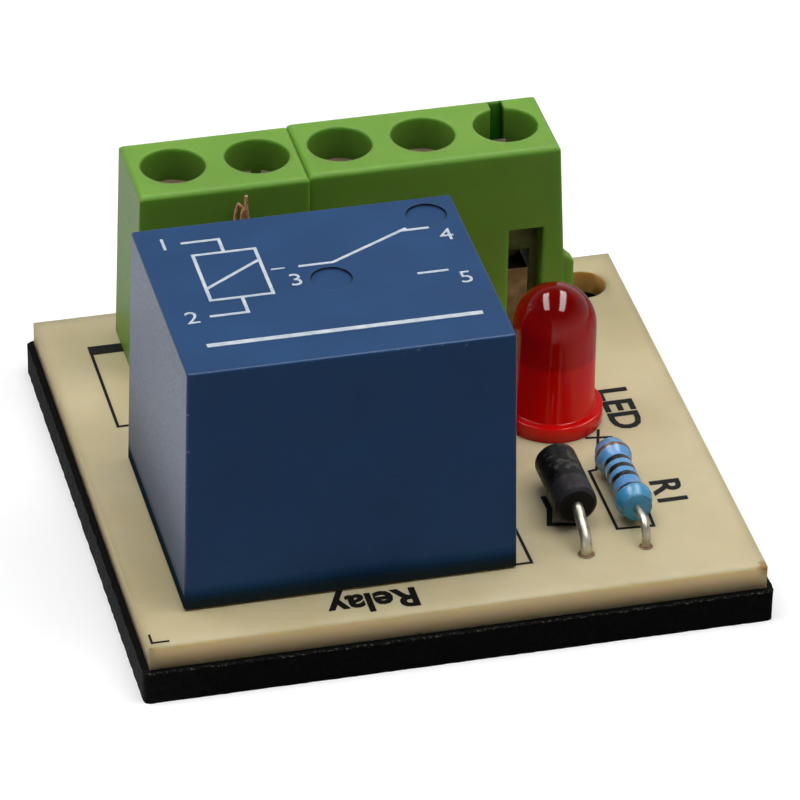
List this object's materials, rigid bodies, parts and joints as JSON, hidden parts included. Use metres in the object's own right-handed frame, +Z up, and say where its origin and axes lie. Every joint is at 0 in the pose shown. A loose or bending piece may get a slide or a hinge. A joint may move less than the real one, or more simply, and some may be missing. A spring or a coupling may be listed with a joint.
{
  "type": "relay module board",
  "caption": "Relay module: sealed blue relay, green screw terminals, red indicator lamp, diode and resistor on a cream board with a foam pad; switches a load circuit.",
  "frame": {"origin": "middle of the foam pad's underside", "axes": "+X right, +Y back towards the terminal blocks, +Z up"},
  "size_m": [0.0368, 0.035, 0.0193],
  "materials": {
    "foam": "cut foam sheet",
    "board_laminate": "paper laminate, satin",
    "copper_foil": "etched copper",
    "solder": "soldered, bright",
    "relay_blue": "moulded, semi-gloss",
    "black_resin": "moulded",
    "enamelled_wire": "enamelled copper",
    "soft_iron": "plated sheet",
    "spring_bronze": "rolled strip",
    "contact_silver": "pressed rivet",
    "tinned_wire": "tinned, drawn",
    "terminal_green": "moulded polyamide",
    "screw_steel": "dull plated",
    "plated_clamp": "nickel plated",
    "tinned_plate": "tinned strip",
    "lamp_red": "clear tinted epoxy",
    "lead_frame": "silvered",
    "lamp_die": "sawn chip",
    "diode_epoxy": "moulded epoxy",
    "resistor_lacquer": "lacquered"
  },
  "bodies": {
    "module": {"foam_pad": "foam", "circuit_board": "board_laminate", "copper_tracks": "copper_foil", "solder_joints": "solder", "relay_cover": "relay_blue", "relay_base": "black_resin", "coil_bobbin": "black_resin", "coil_winding": "enamelled_wire", "coil_core": "soft_iron", "relay_yoke": "soft_iron", "open_contact_strip": "spring_bronze", "open_contact_tip": "contact_silver", "closed_contact_strip": "spring_bronze", "closed_contact_tip": "contact_silver", "coil_pin_1": "tinned_wire", "coil_pin_2": "tinned_wire", "two_pole_housing": "terminal_green", "three_pole_housing": "terminal_green", "clamp_contact_1": "tinned_plate", "clamp_contact_2": "tinned_plate", "clamp_contact_3": "tinned_plate", "clamp_contact_4": "tinned_plate", "clamp_contact_5": "tinned_plate", "led_lens": "lamp_red", "led_cathode": "lead_frame", "led_anode": "lead_frame", "led_die": "lamp_die", "diode_body": "diode_epoxy", "diode_lead_1": "tinned_wire", "diode_lead_2": "tinned_wire", "resistor_body": "resistor_lacquer", "resistor_lead_1": "tinned_wire", "resistor_lead_2": "tinned_wire"},
    "armature": {"relay_armature": "soft_iron", "contact_blade": "spring_bronze", "moving_contact": "contact_silver"},
    "screw_1": {"clamp_screw_1": "screw_steel"},
    "cage_1": {"clamp_cage_1": "plated_clamp"},
    "screw_2": {"clamp_screw_2": "screw_steel"},
    "cage_2": {"clamp_cage_2": "plated_clamp"},
    "screw_3": {"clamp_screw_3": "screw_steel"},
    "cage_3": {"clamp_cage_3": "plated_clamp"},
    "screw_4": {"clamp_screw_4": "screw_steel"},
    "cage_4": {"clamp_cage_4": "plated_clamp"},
    "screw_5": {"clamp_screw_5": "screw_steel"},
    "cage_5": {"clamp_cage_5": "plated_clamp"}
  },
  "joints": [
    {"name": "armature_swing", "type": "hinge", "parent": "module", "child": "armature", "pos_m": [-0.0134, -0.0062, 0.01464], "axis": [0, 1, 0], "range_deg": [0, 3], "stiffness_Nm_per_rad": 0.002, "springref_deg": -8.59},
    {"name": "screw_turn_1", "type": "hinge", "parent": "module", "child": "screw_1", "pos_m": [-0.01036, 0.01225, 0.01255], "axis": [0, 0, -1], "range_deg": [0, 1440]},
    {"name": "cage_lift_1", "type": "slide", "parent": "module", "child": "cage_1", "axis": [0, 0, 1], "range_m": [0, 0.0018]},
    {"name": "screw_turn_2", "type": "hinge", "parent": "module", "child": "screw_2", "pos_m": [-0.00528, 0.01225, 0.01255], "axis": [0, 0, -1], "range_deg": [0, 1440]},
    {"name": "cage_lift_2", "type": "slide", "parent": "module", "child": "cage_2", "axis": [0, 0, 1], "range_m": [0, 0.0018]},
    {"name": "screw_turn_3", "type": "hinge", "parent": "module", "child": "screw_3", "pos_m": [-0.0002, 0.0125, 0.01255], "axis": [0, 0, -1], "range_deg": [0, 1440]},
    {"name": "cage_lift_3", "type": "slide", "parent": "module", "child": "cage_3", "axis": [0, 0, 1], "range_m": [0, 0.0018]},
    {"name": "screw_turn_4", "type": "hinge", "parent": "module", "child": "screw_4", "pos_m": [0.00488, 0.0125, 0.01255], "axis": [0, 0, -1], "range_deg": [0, 1440]},
    {"name": "cage_lift_4", "type": "slide", "parent": "module", "child": "cage_4", "axis": [0, 0, 1], "range_m": [0, 0.0018]},
    {"name": "screw_turn_5", "type": "hinge", "parent": "module", "child": "screw_5", "pos_m": [0.00996, 0.0125, 0.01255], "axis": [0, 0, -1], "range_deg": [0, 1440]},
    {"name": "cage_lift_5", "type": "slide", "parent": "module", "child": "cage_5", "axis": [0, 0, 1], "range_m": [0, 0.0018]}
  ],
  "couplings": [
    {"joint": "screw_turn_1", "follows": "cage_lift_1", "rad_per_m": 13962},
    {"joint": "screw_turn_2", "follows": "cage_lift_2", "rad_per_m": 13962},
    {"joint": "screw_turn_3", "follows": "cage_lift_3", "rad_per_m": 13962},
    {"joint": "screw_turn_4", "follows": "cage_lift_4", "rad_per_m": 13962},
    {"joint": "screw_turn_5", "follows": "cage_lift_5", "rad_per_m": 13962}
  ]
}
